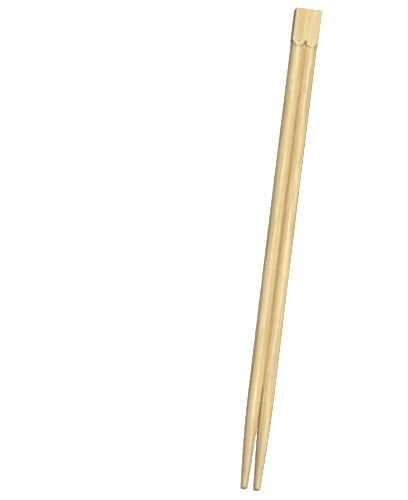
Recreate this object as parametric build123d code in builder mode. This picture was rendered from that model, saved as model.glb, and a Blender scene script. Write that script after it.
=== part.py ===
from build123d import *
import os
from math import atan, sqrt, tan

# A pair of bamboo chopsticks in one piece, as sold in its paper sleeve and snapped apart at the table.
# One strip of bamboo is milled from both faces into two round sticks, which stay joined at a flat head.
# The pair lies on its flat side: X across it, Y along it with the head at +Y, Z up, floor at Z = 0.
# All sizes are in millimetres.

# Whole pair
length = 210.0                # head end to tips
stick_diameter = 5.6          # each round stick, above its taper
stick_gap = 0.2               # between the two rounds, where they come closest
flank_flat_depth = 0.02       # what the strip's sawn sides take off each round, leaving a narrow flat

# Head
head_length = 16.3            # head end to the lowest point of its lobes
face_step = 0.5               # how far each flat face stands above the crowns of the sticks
side_step = 0.12              # how far each side of the head stands outside the sticks
long_edge_easing = 0.35       # round on the four long edges
end_edge_easing = 0.2         # round on the edges of the sawn end

# Neck, where the milling runs out
cutter_axis_lift = 1.1        # axis of the cutter's run-out above the flat face
valley_radius = 0.25          # round in the bottom of the valley between the two sticks
ledge_thickness = 0.5         # bamboo left at mid height beside the sticks
neck_length = 0.5             # start of the run-out to the closed end of the slit, where the web ends

# Tips
taper_length = 42.0           # where each stick begins to slim, to its tip
tip_cone_length = 18.0        # straight cone at the end of the taper
tip_diameter = 3.0
tip_easing = 0.6              # round on the edge of the flat-cut tip

# Worked out from the sizes above
stick_radius = stick_diameter / 2
tip_radius = tip_diameter / 2
axis_x = (stick_diameter + stick_gap) / 2
flank_x = axis_x + stick_radius - flank_flat_depth
slit_width = stick_gap + 2 * flank_flat_depth
head_thickness = stick_diameter + 2 * face_step
head_width = 2 * (flank_x + side_step)
mid_z = head_thickness / 2

head_end = length / 2
tip_end = -length / 2
lobe_y = head_end - head_length

# The run-out is an arc about an axis above the face. It leaves the crown of the stick at runout_y and
# cuts the face at lobe_y, further up the head wherever the milling is deeper: this gives the lobes.
axis_height = head_thickness / 2 + cutter_axis_lift
runout_y = lobe_y - sqrt((axis_height - stick_radius) ** 2 - cutter_axis_lift**2)
neck_end = runout_y - neck_length
neck_middle = (lobe_y + neck_end) / 2
straight_length = neck_end - tip_end

# Each half round is milled down to the ledge on its outer side. On its inner side it turns, without a
# corner, into the round of the valley, whose centre lies above the slit.
half_ledge = ledge_thickness / 2
ledge_x = axis_x + sqrt(stick_radius**2 - half_ledge**2)
valley_center_z = sqrt((stick_radius + valley_radius) ** 2 - axis_x**2)
valley_z = valley_center_z - valley_radius
turn_x = axis_x * valley_radius / (stick_radius + valley_radius)
turn_z = valley_center_z * stick_radius / (stick_radius + valley_radius)

# The cone and the straight stick meet in a corner that is rounded over the rest of the taper
blend = (taper_length - tip_cone_length) / 2
cone_length = taper_length - blend
cone_angle = atan((stick_radius - tip_radius) / cone_length)
blend_radius = blend / tan(cone_angle / 2)

# How far the tools reach past the wood
past = 1.0


with BuildPart() as chopstick_pair:
    # The blank of the head and the neck, with eased edges
    with BuildSketch(Plane.XY):
        with Locations((0, neck_end)):
            Rectangle(head_width, head_end - neck_end, align=(Align.CENTER, Align.MIN))
    extrude(amount=head_thickness)
    fillet(chopstick_pair.edges().filter_by(Axis.Y), radius=long_edge_easing)
    fillet(chopstick_pair.faces().sort_by(Axis.Y)[-1].edges(), radius=end_edge_easing)

    # The milling of each face: two half rounds side by side, with a valley between and a ledge beside them
    for face in (1, -1):
        groove_plane = Plane((0, runout_y, mid_z), x_dir=(face, 0, 0), z_dir=(0, -1, 0))
        runout_axis = Axis((0, runout_y, mid_z + face * axis_height), (face, 0, 0))
        with BuildSketch(groove_plane) as groove:
            with BuildLine():
                ThreePointArc((-ledge_x, half_ledge), (-axis_x, stick_radius), (-turn_x, turn_z))
                ThreePointArc((-turn_x, turn_z), (0, valley_z), (turn_x, turn_z))
                ThreePointArc((turn_x, turn_z), (axis_x, stick_radius), (ledge_x, half_ledge))
                Polyline(
                    (ledge_x, half_ledge),
                    (head_width, half_ledge),
                    (head_width, axis_height),
                    (-head_width, axis_height),
                    (-head_width, half_ledge),
                    (-ledge_x, half_ledge),
                )
            make_face()
        extrude(amount=runout_y - neck_end + past, mode=Mode.SUBTRACT)
        revolve(groove.sketch, axis=runout_axis, revolution_arc=90, mode=Mode.SUBTRACT)

    # The two round sticks, tapered at their ends, cut flat and eased
    for side in (-1, 1):
        stick_axis = Axis((side * axis_x, 0, mid_z), (0, 1, 0))
        with BuildSketch(Plane((side * axis_x, tip_end, mid_z))):
            with BuildLine():
                Polyline(
                    (0, 0),
                    (tip_radius, 0),
                    (stick_radius, cone_length),
                    (stick_radius, straight_length),
                    (0, straight_length),
                    close=True,
                )
            make_face()
            tip_corner = vertices().group_by(Axis.Y)[0].sort_by(Axis.X)[-1]
            cone_corner = vertices().group_by(Axis.Y)[1][0]
            fillet(tip_corner, radius=tip_easing)
            fillet(cone_corner, radius=blend_radius)
        revolve(axis=stick_axis)

    # The sawn sides, drawn in along the neck to the width of the sticks
    with BuildSketch(Plane.XY):
        with BuildLine():
            Line((flank_x, tip_end - past), (flank_x, neck_end))
            Bezier(
                (flank_x, neck_end),
                (flank_x, neck_middle),
                (head_width / 2, neck_middle),
                (head_width / 2, lobe_y),
            )
            Polyline(
                (head_width / 2, lobe_y),
                (head_width, lobe_y),
                (head_width, tip_end - past),
                (flank_x, tip_end - past),
            )
        make_face()
        mirror(about=Plane.YZ)
    extrude(amount=head_thickness, mode=Mode.SUBTRACT)

    # The slit that parts the sticks, open at the tips and closed by the web below the head
    with BuildSketch(Plane.XY):
        with Locations((0, neck_end)):
            Rectangle(slit_width, straight_length + past, align=(Align.CENTER, Align.MAX))
    extrude(amount=head_thickness, mode=Mode.SUBTRACT)

chopstick_pair.part.label = "chopstick_pair"

os.makedirs("parts", exist_ok=True)
export_step(chopstick_pair.part, "parts/chopstick_pair.step")
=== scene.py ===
import bpy
from math import atan, cos, pi, radians, sin, sqrt, tan
import numpy as np
from mathutils import Matrix, Vector


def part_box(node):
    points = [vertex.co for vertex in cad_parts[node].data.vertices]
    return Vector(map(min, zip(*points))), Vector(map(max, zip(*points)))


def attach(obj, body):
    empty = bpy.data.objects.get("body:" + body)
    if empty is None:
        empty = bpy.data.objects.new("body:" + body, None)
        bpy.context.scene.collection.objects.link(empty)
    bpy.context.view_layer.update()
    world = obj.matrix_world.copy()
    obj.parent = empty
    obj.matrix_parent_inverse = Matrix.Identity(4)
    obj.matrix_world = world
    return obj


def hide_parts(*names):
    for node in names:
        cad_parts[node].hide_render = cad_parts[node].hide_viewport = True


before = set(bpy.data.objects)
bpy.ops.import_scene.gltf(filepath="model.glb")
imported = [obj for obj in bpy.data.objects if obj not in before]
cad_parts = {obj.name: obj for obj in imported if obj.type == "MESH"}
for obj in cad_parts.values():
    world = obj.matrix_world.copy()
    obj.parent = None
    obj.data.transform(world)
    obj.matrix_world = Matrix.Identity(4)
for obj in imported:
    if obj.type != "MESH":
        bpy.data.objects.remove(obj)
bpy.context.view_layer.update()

# The pair of chopsticks. It is one strip of bamboo, split lengthwise from the culm and planed flat.
# Shaped cutters mill it from both faces into two round sticks and climb out of the wood below the head,
# which leaves two lobes on each face. A thin saw parts the sticks, and their tips are turned to a taper.

low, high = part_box("chopstick_pair")
mm = 0.001
head_end = high.y / mm
tip_end = low.y / mm
half_width = high.x / mm
half_thickness = (high.z - low.z) / 2 / mm
mid_height = (high.z + low.z) / 2 / mm

# Sizes in millimetres, as the planer, the cutters and the saw leave them
stick_radius = 2.8
stick_axis = 2.9
flank = 5.68
slit_wall = 0.025
tip_radius = 1.5
tip_easing = 0.6
taper_length = 42.0
tip_cone_length = 18.0
head_length = 16.3
neck_length = 0.5
cutter_lift = 1.1
valley_radius = 0.25
ledge_half = 0.25
side_easing = 0.35
end_easing = 0.2
flute_depth = 0.022
drying_bow = 0.11
toe_in = 0.14
tip_drift = 0.2

lobe_y = head_end - head_length
taper_start = tip_end + taper_length
cutter_axis = half_thickness + cutter_lift
runout_y = lobe_y - sqrt((cutter_axis - stick_radius) ** 2 - cutter_lift**2)
neck_end = runout_y - neck_length
valley_center = sqrt((stick_radius + valley_radius) ** 2 - stick_axis**2)
valley_turn = stick_axis * valley_radius / (stick_radius + valley_radius)

blend_length = (taper_length - tip_cone_length) / 2
cone_length = taper_length - blend_length
cone_angle = atan((stick_radius - tip_radius) / cone_length)
blend_radius = blend_length / tan(cone_angle / 2)


def turned_radius(y):
    """Radius of a stick at y: straight, then a long blend, then a cone down to the tip."""
    from_tip = y - tip_end
    if from_tip < tip_cone_length:
        return tip_radius + (stick_radius - tip_radius) * from_tip / cone_length
    into_blend = max(taper_length - from_tip, 0.0)
    return stick_radius - blend_radius + sqrt(blend_radius**2 - into_blend**2)


def sawn_side(y):
    """How far out the sawn side stands at y: as wide as the head, drawn in along the neck."""
    t = np.clip((y - neck_end) / (lobe_y - neck_end), 0, 1)
    return flank + (half_width - flank) * t * t * (3 - 2 * t)


def planed_face(x):
    """Height of the planed face above the middle, with the eased long edge beside it."""
    over = np.clip(np.abs(x) - (half_width - side_easing), 0, side_easing)
    return half_thickness - side_easing + np.sqrt(side_easing**2 - over**2)


def milled_round(x):
    """Height of a round stick's crown above the middle."""
    off_axis = np.abs(np.abs(x) - stick_axis)
    return np.sqrt(np.maximum(stick_radius**2 - off_axis**2, ledge_half**2))


def milled_groove(x):
    """Height of the milled surface in the neck, where the valley between the sticks is rounded."""
    valley = valley_center - np.sqrt(np.maximum(valley_radius**2 - x**2, 0))
    return np.where(np.abs(x) < valley_turn, valley, milled_round(x))


def exit_turn(x):
    """How far the cutter has turned up about its axis where it leaves the planed face."""
    return np.arccos((cutter_axis - planed_face(x)) / (cutter_axis - milled_groove(x)))


def lobe_outline(x):
    """Where along the pair the planed face ends at x."""
    return runout_y + (cutter_axis - milled_groove(x)) * np.sin(exit_turn(x))


# Places across one stick, from the slit over its crown to its flank: on the round, then beside it. They
# stand closer together near the flank, where the round is steep.
crown_columns = 57
flank_columns = 6
root_angle = pi - np.arcsin(ledge_half / stick_radius)
flank_angle = np.arccos((flank - stick_axis) / stick_radius)
near_flank = 1.3 * flank_angle
crown_angles = np.linspace(root_angle, near_flank, crown_columns)
flank_angles = np.linspace(near_flank, flank_angle, flank_columns + 1)[1:]
crown_x = stick_axis + stick_radius * np.cos(crown_angles)
flank_x = stick_axis + stick_radius * np.cos(flank_angles)
stick_x = np.concatenate([[slit_wall, (slit_wall + crown_x[0]) / 2], crown_x, flank_x])
easing_shares = np.array([0.62, 0.48, 0.33, 0.19, 0.08, 0.0])
head_x = np.concatenate([stick_x[: -len(easing_shares)], half_width - side_easing * easing_shares])
beside_slit = root_angle + np.array([0.045, 0.022])
turned_angles = np.concatenate([beside_slit, crown_angles, flank_angles])
across = len(stick_x)
wall_rows = 5
wall_steps = 1 - 2 * np.arange(1, wall_rows + 1) / (wall_rows + 1)

# Over this length the turned taper passes into the milled round
turning_overlap = 4.0
milled_start = taper_start + turning_overlap


def stick_row(y):
    """One row of points across the crown of a stick at y, below the neck."""
    radius = turned_radius(y)
    turned_x = stick_axis + radius * np.cos(turned_angles)
    turned_z = radius * np.sin(turned_angles)
    t = np.clip((y - taper_start) / turning_overlap, 0, 1)
    milled = t * t * (3 - 2 * t)
    x = turned_x + (stick_x - turned_x) * milled
    z = turned_z + (milled_round(stick_x) - turned_z) * milled
    return x, np.full(across, y), z, milled


# The rows, from the tips to the head: across, along and up, and how square the slit's and side's walls are
tip_rows = 10
taper_rows = 47
straight_rows = 91
climb_rows = 18
face_rows = 19
end_rows = 5
rows = []
for turn in np.linspace(pi / 2, 0, tip_rows):
    y = tip_end + tip_easing * (1 - sin(turn))
    eased = turned_radius(y) - tip_easing * (1 - cos(turn))
    x = stick_axis + eased * np.cos(turned_angles)
    rows.append((x, np.full(across, y), eased * np.sin(turned_angles), 0.0))
tapered = np.linspace(tip_end + tip_easing, milled_start, taper_rows + 1)[1:]
straight = np.linspace(milled_start, neck_end, straight_rows + 1)[1:]
rows += [stick_row(y) for y in np.concatenate([tapered, straight])]

# The slit ends at this row, and the valley's floor begins just above it
slit_row = len(rows) - 1
floor_step = 0.04
for y in [neck_end + floor_step, *np.linspace(neck_end, runout_y, 5)[1:]]:
    spread = (sawn_side(y) - flank) / (half_width - flank)
    x = stick_x + (head_x - stick_x) * spread
    rows.append((x, np.full(across, y), milled_groove(x), 1.0))

# The places across and along depend on each other here, so they are found in a few rounds
rounds = 4
for share in np.linspace(0, 1, climb_rows + 1)[1:]:
    x = head_x.copy()
    for _ in range(rounds):
        radius = cutter_axis - milled_groove(x)
        y = runout_y + radius * np.sin(share * exit_turn(x))
        spread = (sawn_side(y) - flank) / (half_width - flank)
        x = stick_x + (head_x - stick_x) * spread
    rows.append((x, y, cutter_axis - radius * np.cos(share * exit_turn(x)), 1.0))

face_start = lobe_outline(head_x)
near_rim = (0.012, 0.03, 0.055, 0.09, 0.13)
for share in (*near_rim, *np.linspace(0.18, 1, face_rows + 1)):
    y = face_start + (head_end - end_easing - face_start) * share
    rows.append((head_x, y, planed_face(head_x), 1.0))
over_edge = np.clip(head_x - (half_width - side_easing), 0, side_easing)
face_tilt = np.arcsin(over_edge / side_easing)
for turn in np.linspace(0, pi / 2, end_rows + 1)[1:]:
    inward = end_easing * (1 - cos(turn))
    x = head_x - inward * np.sin(face_tilt)
    z = planed_face(head_x) - inward * np.cos(face_tilt)
    rows.append((x, np.full(across, head_end - end_easing + end_easing * sin(turn)), z, 1.0))
row_count = len(rows)

# Every row becomes a ring of points: over the crown, down the side, back below, and up the slit's wall
points = []
faces = []
ring_of = {}


def add_points(block):
    """Adds points and gives their numbers."""
    points.extend(np.asarray(block, float).tolist())
    return list(range(len(points) - len(block), len(points)))


def quad(a, b, c, d, side):
    """Adds a face, turned round on the left stick, which mirrors the right one."""
    faces.append((a, b, c, d) if side > 0 else (d, c, b, a))


for side in (1, -1):
    for index, (x, y, z, square) in enumerate(rows):
        outer_x = np.full(wall_rows, x[-1])
        inner_x = np.full(wall_rows, x[0])
        if square < 1:
            radius = sqrt((x[-1] - stick_axis) ** 2 + z[-1] ** 2)
            round_x = np.sqrt(radius**2 - (z[-1] * wall_steps) ** 2)
            outer_x = outer_x * square + (stick_axis + round_x) * (1 - square)
            round_x = np.sqrt(((x[0] - stick_axis) ** 2 + z[0] ** 2) - (z[0] * wall_steps) ** 2)
            inner_x = inner_x * square + (stick_axis - round_x) * (1 - square)
        ring = np.concatenate(
            [
                np.stack([x, y, z], axis=1),
                np.stack([outer_x, np.full(wall_rows, y[-1]), z[-1] * wall_steps], axis=1),
                np.stack([x, y, -z], axis=1)[::-1],
                np.stack([inner_x, np.full(wall_rows, y[0]), -z[0] * wall_steps], axis=1),
            ]
        )
        ring[:, 0] *= side
        ring_of[side, index] = add_points(ring)
around = 2 * across + 2 * wall_rows

# The line down the middle of both faces, from the closed end of the slit to the head's end
middle_top = {}
middle_under = {}
for index in range(slit_row, row_count):
    _, y, z, _ = rows[index]
    middle_top[index], middle_under[index] = add_points([(0, y[0], z[0]), (0, y[0], -z[0])])

under_first = across + wall_rows
under_last = 2 * across + wall_rows - 1
for side in (1, -1):
    for index in range(row_count - 1):
        near = ring_of[side, index]
        far = ring_of[side, index + 1]
        closed = index < slit_row
        for k in range(around if closed else under_last):
            after = (k + 1) % around
            quad(near[k], near[after], far[after], far[k], side)
        if not closed:
            quad(middle_top[index], near[0], far[0], middle_top[index + 1], side)
            quad(near[under_last], middle_under[index], middle_under[index + 1], far[under_last], side)

# The closed end of the slit
right = ring_of[1, slit_row]
left = ring_of[-1, slit_row]
right_wall = [right[under_last], *right[under_last + 1 :], right[0]]
left_wall = [left[under_last], *left[under_last + 1 :], left[0]]
for k in range(1, len(right_wall) - 2):
    faces.append((right_wall[k], right_wall[k + 1], left_wall[k + 1], left_wall[k]))
faces.append((right_wall[0], right_wall[1], left_wall[1], left_wall[0], middle_under[slit_row]))
faces.append((right_wall[-2], right_wall[-1], middle_top[slit_row], left_wall[-1], left_wall[-2]))


def close_end(top, under, inner, outer, side, outwards):
    """Fills the flat end of a stick or of half the head with a grid between its top and its underside."""
    columns = [[top[0], *inner, under[0]]]
    start = points[top[0]][0]
    width = points[top[-1]][0] - start
    for j in range(1, len(top) - 1):
        x, y, z = points[top[j]]
        share = (x - start) / width
        inner_x = np.array([points[v][0] for v in inner])
        outer_x = np.array([points[v][0] for v in outer])
        middle_x = inner_x + (outer_x - inner_x) * share
        middle = add_points(np.stack([middle_x, np.full(wall_rows, y), z * wall_steps], axis=1))
        columns.append([top[j], *middle, under[j]])
    columns.append([top[-1], *outer, under[-1]])
    for near, far in zip(columns[:-1], columns[1:]):
        for k in range(wall_rows + 1):
            quad(near[k], near[k + 1], far[k + 1], far[k], side * outwards)


for side in (1, -1):
    ring = ring_of[side, 0]
    close_end(
        ring[:across],
        ring[under_first : under_last + 1][::-1],
        ring[under_last + 1 :][::-1],
        ring[across : across + wall_rows],
        side,
        1,
    )
last = row_count - 1
end_y = rows[last][1][0]
end_z = rows[last][2][0]
middle_column = add_points([(0, end_y, end_z * step) for step in wall_steps])
for side in (1, -1):
    ring = ring_of[side, last]
    close_end(
        [middle_top[last], *ring[:across]],
        [middle_under[last], *ring[under_first : under_last + 1][::-1]],
        middle_column,
        ring[across : across + wall_rows],
        side,
        -1,
    )

coordinates = np.array(points)
coordinates[:, 2] += mid_height
used = np.zeros(len(coordinates), bool)
for face in faces:
    used[list(face)] = True
renumbered = np.cumsum(used) - 1
coordinates = coordinates[used]
faces = [tuple(int(renumbered[v]) for v in face) for face in faces]

pair_mesh = bpy.data.meshes.new("chopstick_pair")
pair_mesh.from_pydata((coordinates * mm).tolist(), [], faces)
pair_mesh.update()

# Drying draws both sticks a little to one side and their tips together. The cutters leave shallow flutes
# between the fibres.
normals = np.zeros(len(coordinates) * 3)
pair_mesh.vertices.foreach_get("normal", normals)
normals = normals.reshape(-1, 3)
random = np.random.default_rng(41)
wave_count = 36
flutes = np.zeros(len(coordinates))
for _ in range(wave_count):
    wavelength = random.uniform(0.55, 2.4)
    heading = random.uniform(0, 2 * pi)
    lengthwise = random.normal(0, 1 / 45)
    phase = random.uniform(0, 2 * pi)
    wave = coordinates[:, 0] * cos(heading) / wavelength
    wave += coordinates[:, 2] * sin(heading) / wavelength
    wave += coordinates[:, 1] * lengthwise
    flutes += np.sin(2 * pi * wave + phase) * wavelength**0.5
flutes /= 3 * flutes.std()
fluted = flute_depth / 2 * (1 - np.clip(flutes, -1, 1))
along_wood = 1 - np.abs(normals[:, 1])
slack = 0.005
on_slit_wall = np.abs(coordinates[:, 0]) < slit_wall + slack
fluted[on_slit_wall & (coordinates[:, 1] < neck_end + 2 * slack)] = 0
on_middle = np.abs(coordinates[:, 0]) < 1e-6
coordinates[:, 0] -= np.where(on_middle, 0, normals[:, 0] * fluted * along_wood)
coordinates[:, 2] -= normals[:, 2] * fluted * along_wood
bowed = np.clip((neck_end - coordinates[:, 1]) / (neck_end - tip_end), 0, 1)
coordinates[:, 0] -= drying_bow * np.sin(pi * bowed) ** 2
toed = np.clip((taper_start - coordinates[:, 1]) / taper_length, 0, 1)
coordinates[:, 0] += (tip_drift - np.sign(coordinates[:, 0]) * toe_in) * toed**2
pair_mesh.vertices.foreach_set("co", (coordinates * mm).ravel())

# Cut fibres: palest along the lobes' rims, fading over the run-out below and the face above. On the right
# lobe they reach farther up.
right_reach = 2.3
left_reach = 1.4
reach_below = 0.9
near_head = coordinates[:, 1] > neck_end + floor_step / 2
above_rim = coordinates[:, 1] - lobe_outline(coordinates[:, 0])
reach_above = np.where(coordinates[:, 0] > 0, right_reach, left_reach)
fuzz_above = np.exp(-np.maximum(above_rim, 0) / reach_above)
fuzz_below = np.clip(1 + above_rim / reach_below, 0, 1)
fuzz = np.where(above_rim > 0, fuzz_above, fuzz_below)
fuzz[~near_head] = 0
cut_fibre = pair_mesh.attributes.new("cut_fibre", "FLOAT", "POINT")
cut_fibre.data.foreach_set("value", fuzz.astype(np.float32))
# How far a surface faces along the pair: it shows the bundles' ends and darkens the ends, partly with
# painted shade
end_grain = pair_mesh.attributes.new("end_grain", "FLOAT", "POINT")
end_grain.data.foreach_set("value", (np.abs(normals[:, 1]) * (1 - fuzz)).astype(np.float32))
# Painted shade for the valley between the sticks, deepest along the slit, kept in the valley attribute
valley_shade_half = 0.33
slit_shade_half = 0.1
valley_shade = np.exp(-((coordinates[:, 0] / valley_shade_half) ** 2))
valley_shade += np.exp(-((coordinates[:, 0] / slit_shade_half) ** 2))
valley_shade[near_head & (above_rim > 0.1)] = 0
valley = pair_mesh.attributes.new("valley", "FLOAT", "POINT")
valley.data.foreach_set("value", valley_shade.astype(np.float32))

pair_mesh.shade_smooth()
pair_mesh.set_sharp_from_angle(angle=radians(34))
pair_mesh.update()
pair = bpy.data.objects.new("chopstick_pair_wood", pair_mesh)
bpy.context.scene.collection.objects.link(pair)


def node(tree, kind, sockets=None, **settings):
    """Adds a node; sockets gives an input, by name or number, a value or another node's output."""
    made = tree.nodes.new(kind)
    for name, value in settings.items():
        setattr(made, name, value)
    for name, value in (sockets or {}).items():
        if isinstance(value, bpy.types.NodeSocket):
            tree.links.new(value, made.inputs[name])
        else:
            made.inputs[name].default_value = value
    return made


def maths(tree, operation, *values):
    """Adds a maths node and gives its result."""
    return node(tree, "ShaderNodeMath", dict(enumerate(values)), operation=operation).outputs[0]


def vector(tree, operation, *values):
    """Adds a vector maths node and gives its result."""
    return node(tree, "ShaderNodeVectorMath", dict(enumerate(values)), operation=operation).outputs[0]


def mixed(tree, how, share, first, second):
    """Mixes two colours and gives the result's socket."""
    sockets = {0: share, 6: first, 7: second}
    return node(tree, "ShaderNodeMix", sockets, data_type="RGBA", blend_type=how).outputs[2]


def ranged(tree, value, start, finish, to_start, to_finish):
    """Turns a range of values into another, with smooth ends."""
    sockets = {"Value": value, 1: start, 2: finish, 3: to_start, 4: to_finish}
    return node(tree, "ShaderNodeMapRange", sockets, interpolation_type="SMOOTHSTEP").outputs[0]


def fibre_noise(tree, place, crosswise, lengthwise, detail, output="Fac"):
    """Noise that is drawn out along the fibres; its two scales are per millimetre."""
    sockets = {"Vector": place, "Scale": (crosswise, lengthwise, crosswise)}
    stretched = node(tree, "ShaderNodeMapping", sockets).outputs[0]
    sockets = {"Vector": stretched, "Scale": 1.0, "Detail": detail, "Roughness": 0.6}
    return node(tree, "ShaderNodeTexNoise", sockets).outputs[output]


bamboo = bpy.data.materials.new("bamboo_planed")
bamboo.use_nodes = True
tree = bamboo.node_tree
tree.nodes.clear()
place = node(tree, "ShaderNodeTexCoord").outputs["Object"]
place = vector(tree, "MULTIPLY", place, (1000.0, 1000.0, 1000.0))

# The fibres wander a little on their way along the strip
wander = vector(tree, "SUBTRACT", fibre_noise(tree, place, 0.05, 0.03, 1.0, "Color"), (0.5, 0.5, 0.5))
fibre_place = vector(tree, "ADD", place, vector(tree, "MULTIPLY", wander, (2.2, 0.0, 2.2)))

tone = fibre_noise(tree, fibre_place, 0.4, 0.02, 2.0)
hue = fibre_noise(tree, vector(tree, "ADD", fibre_place, (31.0, 0.0, 17.0)), 0.62, 0.03, 1.0)
streak = fibre_noise(tree, fibre_place, 1.7, 0.035, 3.0)
grain = fibre_noise(tree, vector(tree, "ADD", fibre_place, (5.0, 0.0, 3.0)), 3.1, 0.06, 2.0)
hairline = fibre_noise(tree, fibre_place, 7.5, 0.12, 3.0)
mottle = fibre_noise(tree, place, 0.55, 0.3, 3.0)

deep_gold = (0.79, 0.605, 0.31, 1)
golden = (0.90, 0.705, 0.38, 1)
straw = (1.0, 0.815, 0.475, 1)
tones = node(tree, "ShaderNodeValToRGB", {"Fac": tone})
stops = tones.color_ramp.elements
stops[0].position = 0.3
stops[0].color = deep_gold
stops[1].position = 0.7
stops[1].color = straw
stops.new(0.5).color = golden

greenish = (0.985, 1.02, 0.94, 1)
rosy = (1.01, 0.985, 1.01, 1)
colour = mixed(tree, "MIX", ranged(tree, hue, 0.38, 0.62, 0.0, 1.0), greenish, rosy)
colour = mixed(tree, "MULTIPLY", 1.0, tones.outputs[0], colour)

darkest_streak = (0.88, 0.86, 0.79)
palest_streak = (1.08, 1.10, 1.17)
shade = {}
for channel, (least, most) in enumerate(zip(darkest_streak, palest_streak)):
    shade[channel] = ranged(tree, streak, 0.32, 0.68, least, most)
colour = mixed(tree, "MULTIPLY", 1.0, colour, node(tree, "ShaderNodeCombineColor", shade).outputs[0])

grain_tint = (0.86, 0.82, 0.74, 1)
line_tint = (0.82, 0.70, 0.52, 1)
mottle_tint = (0.90, 0.915, 0.88, 1)
colour = mixed(tree, "MULTIPLY", ranged(tree, grain, 0.42, 0.66, 0.0, 0.8), colour, grain_tint)
colour = mixed(tree, "MULTIPLY", ranged(tree, hairline, 0.5, 0.72, 0.0, 0.6), colour, line_tint)
colour = mixed(tree, "MULTIPLY", ranged(tree, mottle, 0.45, 0.72, 0.0, 0.7), colour, mottle_tint)

# Bundles of long fibres run through the ground tissue, browner than it, each of its own strength
bundle_brown = (0.52, 0.33, 0.15, 1)
parts = node(tree, "ShaderNodeSeparateXYZ", {0: fibre_place}).outputs
section = node(tree, "ShaderNodeCombineXYZ", {0: parts[0], 1: parts[2]}).outputs[0]
sockets = {"Vector": section, "Scale": 1.55, "Randomness": 0.85}
bundle = node(tree, "ShaderNodeTexVoronoi", sockets, voronoi_dimensions="2D").outputs
strength = node(tree, "ShaderNodeSeparateColor", {0: bundle["Color"]}).outputs[0]
core = maths(tree, "MULTIPLY", ranged(tree, bundle["Distance"], 0.12, 0.34, 1.0, 0.0), strength)
end_cut = node(tree, "ShaderNodeAttribute", attribute_name="end_grain").outputs["Fac"]
core = maths(tree, "MULTIPLY", core, ranged(tree, end_cut, 0.1, 0.9, 0.4, 0.95))
colour = mixed(tree, "MIX", core, colour, bundle_brown)

# Painted shade darkens the valley between the sticks a little, and the slit along its middle more
valley_shade_tint = (0.955, 0.975, 1.0, 1)
slit_shade_tint = (0.67, 0.68, 0.70, 1)
end_grain_shade_tint = (0.46, 0.43, 0.38, 1)
painted_valley_shade = node(tree, "ShaderNodeAttribute", attribute_name="valley").outputs["Fac"]
colour = mixed(tree, "MULTIPLY", ranged(tree, painted_valley_shade, 0.0, 1.0, 0.0, 1.0), colour, valley_shade_tint)
colour = mixed(tree, "MULTIPLY", ranged(tree, painted_valley_shade, 1.0, 1.8, 0.0, 1.0), colour, slit_shade_tint)
# Surfaces that face along the pair, the cut ends and the foot of the climb below the lobes, are darkened:
# partly the end grain's own darker tone, partly painted shade on the tips' rounded ends
colour = mixed(tree, "MULTIPLY", ranged(tree, end_cut, 0.15, 0.7, 0.0, 0.9), colour, end_grain_shade_tint)

# The sticks are painted a little darker along the taper and greyer at the tips: painted shade, as if the
# light fell off toward the tips
taper_shade_tint = (0.85, 0.845, 0.86, 1)
tip_shade_tint = (0.94, 0.97, 1.0, 1)
tapered = ranged(tree, parts[1], taper_start + 2, taper_start - 30, 0.0, 1.0)
colour = mixed(tree, "MULTIPLY", tapered, colour, taper_shade_tint)
near_tip = ranged(tree, parts[1], tip_end + 24, tip_end + 2, 0.0, 1.0)
colour = mixed(tree, "MULTIPLY", near_tip, colour, tip_shade_tint)

# The head's planed face is a little darker than the milled sticks, most of all along its long edges
head_tint = (0.965, 0.955, 0.955, 1)
edge_tint = (0.82, 0.84, 0.90, 1)
on_head = ranged(tree, parts[1], lobe_y - 1, lobe_y + 1, 0.0, 1.0)
colour = mixed(tree, "MULTIPLY", on_head, colour, head_tint)
edge = ranged(tree, maths(tree, "ABSOLUTE", parts[0]), half_width - 1.3, half_width - 0.1, 0.0, 1.0)
edge = maths(tree, "MULTIPLY", edge, on_head)
colour = mixed(tree, "MULTIPLY", edge, colour, edge_tint)

# Where fibres are cut across, their torn ends are pale, with pits between them that are darkened with
# painted shade and sunk into the bump
torn_pale = (1.0, 0.88, 0.57, 1)
pit_shade_tint = (0.62, 0.56, 0.44, 1)
torn = node(tree, "ShaderNodeAttribute", attribute_name="cut_fibre").outputs["Fac"]
speck = fibre_noise(tree, place, 1.7, 1.0, 1.0)
pits = fibre_noise(tree, vector(tree, "ADD", place, (9.0, 4.0, 0.0)), 1.5, 1.0, 1.0)
pale = maths(tree, "MULTIPLY", torn, ranged(tree, speck, 0.4, 0.58, 0.25, 1.2))
pale = maths(tree, "MINIMUM", pale, 1.0)
colour = mixed(tree, "MIX", pale, colour, torn_pale)
pits = ranged(tree, pits, 0.52, 0.62, 0.0, 0.9)
pit_depth = maths(tree, "MULTIPLY", ranged(tree, torn, 0.1, 0.5, 0.0, 1.0), pits)
colour = mixed(tree, "MULTIPLY", pit_depth, colour, pit_shade_tint)

relief = maths(tree, "ADD", streak, maths(tree, "MULTIPLY", hairline, 0.6))
relief = maths(tree, "SUBTRACT", relief, maths(tree, "MULTIPLY", core, 0.35))
relief = maths(tree, "SUBTRACT", relief, maths(tree, "MULTIPLY", pit_depth, 1.4))
bump = node(tree, "ShaderNodeBump", {"Strength": 0.55, "Distance": 0.00006, "Height": relief})
head_share = maths(tree, "MULTIPLY", on_head, 0.3)
sockets = {
    "Base Color": colour,
    "Roughness": maths(tree, "ADD", head_share, ranged(tree, hairline, 0.3, 0.7, 0.42, 0.55)),
    "Normal": bump.outputs[0],
    "Specular IOR Level": 0.45,
}
shader = node(tree, "ShaderNodeBsdfPrincipled", sockets)
node(tree, "ShaderNodeOutputMaterial", {"Surface": shader.outputs[0]})
pair_mesh.materials.append(bamboo)

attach(pair, "root")
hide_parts("chopstick_pair")

# Torn fibres stand along the rims of the lobes, where the cutters climb out across the grain. They are
# loose ends of the bamboo itself, a few tenths of a millimetre long, that lean out over the milled hollow.

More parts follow.
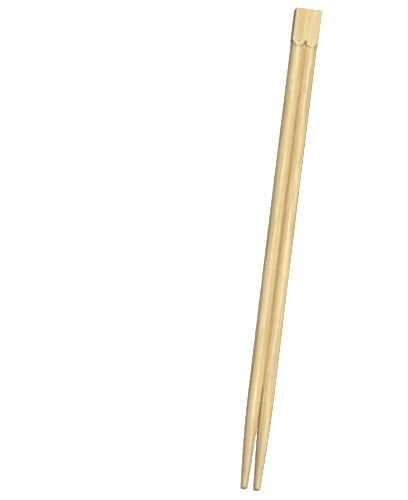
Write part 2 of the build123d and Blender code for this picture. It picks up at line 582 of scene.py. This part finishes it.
rim_margin = 0.3
root_depth = 0.15
rim_x = head_x[head_x < half_width - rim_margin]
rim_x = np.concatenate([-rim_x[::-1], rim_x])
rim_points = []
for face in (1, -1):
    rim_z = mid_height + face * (planed_face(rim_x) - root_depth)
    rim_points.append(np.stack([rim_x, lobe_outline(rim_x), rim_z], axis=1))
rim_count = len(rim_x)
rim_edges = [(k, k + 1) for k in range(2 * rim_count - 1) if k != rim_count - 1]
rim_mesh = bpy.data.meshes.new("lobe_rims")
rim_mesh.from_pydata((np.concatenate(rim_points) * mm).tolist(), rim_edges, [])
outward = rim_mesh.attributes.new("outward", "FLOAT_VECTOR", "POINT")
outward_values = np.repeat([[0.0, 0.0, 1.0], [0.0, 0.0, -1.0]], rim_count, axis=0)
outward.data.foreach_set("vector", outward_values.ravel())
torn_fibres = bpy.data.objects.new("torn_fibres", rim_mesh)
bpy.context.scene.collection.objects.link(torn_fibres)

fringe = bpy.data.node_groups.new("fringe_of_fibres", "GeometryNodeTree")
fringe_inputs = {
    "Rims": ("NodeSocketGeometry", None),
    "Fibres on a rim": ("NodeSocketInt", 190),
    "Shortest": ("NodeSocketFloat", 0.22 * mm),
    "Longest": ("NodeSocketFloat", 0.75 * mm),
    "Thinnest": ("NodeSocketFloat", 0.02 * mm),
    "Thickest": ("NodeSocketFloat", 0.065 * mm),
    "Spread": ("NodeSocketFloat", 0.5),
    "Curl": ("NodeSocketFloat", 0.18 * mm),
    "Wood": ("NodeSocketMaterial", bamboo),
    "Seed": ("NodeSocketInt", 7),
}
identifiers = {}
for name, (kind, value) in fringe_inputs.items():
    socket = fringe.interface.new_socket(name=name, in_out="INPUT", socket_type=kind)
    identifiers[name] = socket.identifier
fringe.interface.new_socket(name="Fibres", in_out="OUTPUT", socket_type="NodeSocketGeometry")
given = node(fringe, "NodeGroupInput").outputs


def random_value(least, most, shift, kind="FLOAT"):
    """A random value for each fibre, by the tree's seed and a shift of its own."""
    seed = maths(fringe, "ADD", given["Seed"], shift)
    first = 0 if kind == "FLOAT_VECTOR" else 2
    sockets = {first: least, first + 1: most, "Seed": seed}
    return node(fringe, "FunctionNodeRandomValue", sockets, data_type=kind).outputs[0 if first == 0 else 1]


rims = node(fringe, "GeometryNodeMeshToCurve", {"Mesh": given["Rims"]}).outputs[0]
sockets = {"Curve": rims, "Count": given["Fibres on a rim"]}
rims = node(fringe, "GeometryNodeResampleCurve", sockets).outputs[0]
nearest = (-0.05 * mm, -0.02 * mm, -0.02 * mm)
farthest = (0.05 * mm, 0.22 * mm, 0.02 * mm)
jitter = random_value(nearest, farthest, 1, "FLOAT_VECTOR")
rims = node(fringe, "GeometryNodeSetPosition", {"Geometry": rims, "Offset": jitter}).outputs[0]

sideways = maths(fringe, "MULTIPLY", random_value(-1.0, 1.0, 2), given["Spread"])
sockets = {"Name": "outward"}
face_up = node(fringe, "GeometryNodeInputNamedAttribute", sockets, data_type="FLOAT_VECTOR").outputs[0]
sockets = {0: face_up, "Scale": random_value(-0.75, 0.0, 3)}
lift = node(fringe, "ShaderNodeVectorMath", sockets, operation="SCALE")
heading = node(fringe, "ShaderNodeCombineXYZ", {0: sideways, 1: -1.0, 2: 0.0}).outputs[0]
heading = vector(fringe, "ADD", heading, lift.outputs[0])
turn = node(fringe, "FunctionNodeAlignRotationToVector", {"Vector": heading}, axis="Z").outputs[0]
thick = random_value(given["Thinnest"], given["Thickest"], 4)
long = random_value(given["Shortest"], given["Longest"], 5)
size = node(fringe, "ShaderNodeCombineXYZ", {0: thick, 1: thick, 2: long}).outputs[0]

sockets = {"Vertices": 5, "Side Segments": 4, "Radius Top": 0.25, "Radius Bottom": 1.0, "Depth": 1.0}
fibre = node(fringe, "GeometryNodeMeshCone", sockets).outputs["Mesh"]
sockets = {"Points": rims, "Instance": fibre, "Rotation": turn, "Scale": size}
fibres = node(fringe, "GeometryNodeInstanceOnPoints", sockets).outputs[0]
fibres = node(fringe, "GeometryNodeRealizeInstances", {0: fibres}).outputs[0]
here = node(fringe, "GeometryNodeInputPosition").outputs[0]
curls_per_metre = 1100.0
sockets = {"Vector": here, "Scale": curls_per_metre, "Detail": 1.0}
bend = node(fringe, "ShaderNodeTexNoise", sockets).outputs["Color"]
bend = vector(fringe, "SUBTRACT", bend, (0.5, 0.5, 0.5))
bend = node(fringe, "ShaderNodeVectorMath", {0: bend, "Scale": given["Curl"]}, operation="SCALE").outputs[0]
fibres = node(fringe, "GeometryNodeSetPosition", {"Geometry": fibres, "Offset": bend}).outputs[0]
fibres = node(fringe, "GeometryNodeSetMaterial", {"Geometry": fibres, "Material": given["Wood"]}).outputs[0]
node(fringe, "NodeGroupOutput", {"Fibres": fibres})

growth = torn_fibres.modifiers.new("fringe", "NODES")
growth.node_group = fringe
for name, (_, value) in fringe_inputs.items():
    if value is not None:
        growth[identifiers[name]] = value
depsgraph = bpy.context.evaluated_depsgraph_get()
grown = bpy.data.meshes.new_from_object(torn_fibres.evaluated_get(depsgraph))
torn_fibres.modifiers.clear()
torn_fibres.data = grown
bpy.data.meshes.remove(rim_mesh)
grown.name = "torn_fibres"
fibre_paleness = 0.9
paleness = grown.attributes.new("cut_fibre", "FLOAT", "POINT")
paleness.data.foreach_set("value", np.full(len(grown.vertices), fibre_paleness, np.float32))
grown.shade_smooth()

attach(torn_fibres, "root")

# The floor is a plain white sheet that runs on far behind the pair. Seen by the camera it is white
# wherever light reaches it, and it keeps the pair's shadow. A view from below passes through it.

floor_mesh = bpy.data.meshes.new("floor_sheet")
reach = 12.0
corners = [(-reach, -reach, 0), (reach, -reach, 0), (reach, reach, 0), (-reach, reach, 0)]
floor_mesh.from_pydata(corners, [], [(0, 1, 2, 3)])
floor = bpy.data.objects.new("floor_sheet", floor_mesh)
bpy.context.scene.collection.objects.link(floor)
white = bpy.data.materials.new("white_sheet")
white.use_nodes = True
tree = white.node_tree
tree.nodes.clear()
seen = node(tree, "ShaderNodeLightPath").outputs["Is Camera Ray"]
below = node(tree, "ShaderNodeNewGeometry").outputs["Backfacing"]
pale_grey = (0.35, 0.34, 0.32, 1)
overexposed = (2.9, 2.9, 2.9, 1)
sheet_colour = mixed(tree, "MIX", seen, pale_grey, overexposed)
matt = node(tree, "ShaderNodeBsdfDiffuse", {"Color": sheet_colour}).outputs[0]
clear = node(tree, "ShaderNodeBsdfTransparent").outputs[0]
sockets = {0: maths(tree, "MULTIPLY", seen, below), 1: matt, 2: clear}
sheet = node(tree, "ShaderNodeMixShader", sockets).outputs[0]
node(tree, "ShaderNodeOutputMaterial", {"Surface": sheet})
floor_mesh.materials.append(white)

# The camera looks down from far above, from a little below and left of the picture's middle, so that it
# sees the tips' ends and the head's left side. Its turn, place and lens are found step by step, until the
# ends of the pair lie at their two spots of the picture, which are given in pixels.

camera_distance = 3.0
from_left = radians(5)
from_below = radians(5)
picture = Vector((408.0, 500.0))
head_spot = Vector((309.6 - picture.x / 2, picture.y / 2 - 8.4))
tip_spot = Vector((250.5 - picture.x / 2, picture.y / 2 - 489.2))
head_place = Vector((0.0, high.y, high.z))
lowest_seen = mid_height + 0.3 * tip_radius
tip_place = Vector((0.0, low.y, lowest_seen * mm))

# First guesses of the turn, the lens and the middle of the view
lean = 0.0
lens_pixels = 3000.0
aim = (head_place + tip_place) / 2
solve_steps = 20
for _ in range(solve_steps):
    tilt = Matrix.Rotation(from_below, 3, "X") @ Matrix.Rotation(-from_left, 3, "Y")
    facing = Matrix.Rotation(lean, 3, "Z") @ tilt
    camera_place = aim + facing @ Vector((0, 0, camera_distance))
    head_seen = facing.transposed() @ (head_place - camera_place)
    tip_seen = facing.transposed() @ (tip_place - camera_place)
    head_drawn = head_seen.xy * lens_pixels / -head_seen.z
    tip_drawn = tip_seen.xy * lens_pixels / -tip_seen.z
    drawn = head_drawn - tip_drawn
    wanted = head_spot - tip_spot
    lens_pixels *= wanted.length / drawn.length
    lean += drawn.angle_signed(wanted)
    miss = (head_drawn + tip_drawn - head_spot - tip_spot) / 2
    aim += facing @ Vector((miss.x, miss.y, 0)) * camera_distance / lens_pixels

camera_data = bpy.data.cameras.new("overhead_camera")
camera_data.sensor_width = 36.0
camera_data.lens = lens_pixels * camera_data.sensor_width / picture.y
camera_data.clip_start = 0.01
camera_data.clip_end = 50.0
camera = bpy.data.objects.new("overhead_camera", camera_data)
bpy.context.scene.collection.objects.link(camera)
camera.location = camera_place
camera.rotation_euler = facing.to_euler()
bpy.context.scene.camera = camera

# One broad lamp stands nearly overhead, leaning to the top right of the picture. The surround is white to
# the camera, and gives the pair a little soft light from above.

lamp_data = bpy.data.lights.new("broad_lamp", "SUN")
lamp_data.energy = 2.74
lamp_data.angle = radians(9)
lamp = bpy.data.objects.new("broad_lamp", lamp_data)
bpy.context.scene.collection.objects.link(lamp)
lamp_lean = Vector((0.12, 0.13, 1.0))
lamp_from = Matrix.Rotation(lean, 3, "Z") @ lamp_lean.normalized()
lamp.rotation_euler = lamp_from.to_track_quat("Z", "Y").to_euler()

world = bpy.data.worlds.new("white_surround")
bpy.context.scene.world = world
world.use_nodes = True
tree = world.node_tree
tree.nodes.clear()
direction = node(tree, "ShaderNodeTexCoord").outputs["Generated"]
height = node(tree, "ShaderNodeSeparateXYZ", {0: direction}).outputs[2]
overhead = maths(tree, "POWER", maths(tree, "MAXIMUM", height, 0.0), 2.0)
least_sky = 0.05
sky_rise = 0.22
overhead = maths(tree, "MULTIPLY_ADD", overhead, sky_rise, least_sky)
seen = node(tree, "ShaderNodeLightPath").outputs["Is Camera Ray"]
level = node(tree, "ShaderNodeMapRange", {"Value": seen, 3: overhead, 4: 1.0}).outputs[0]
sky = node(tree, "ShaderNodeBackground", {"Color": (1, 1, 1, 1), "Strength": level}).outputs[0]
node(tree, "ShaderNodeOutputWorld", {"Surface": sky})

bpy.context.scene.view_settings.view_transform = "Standard"
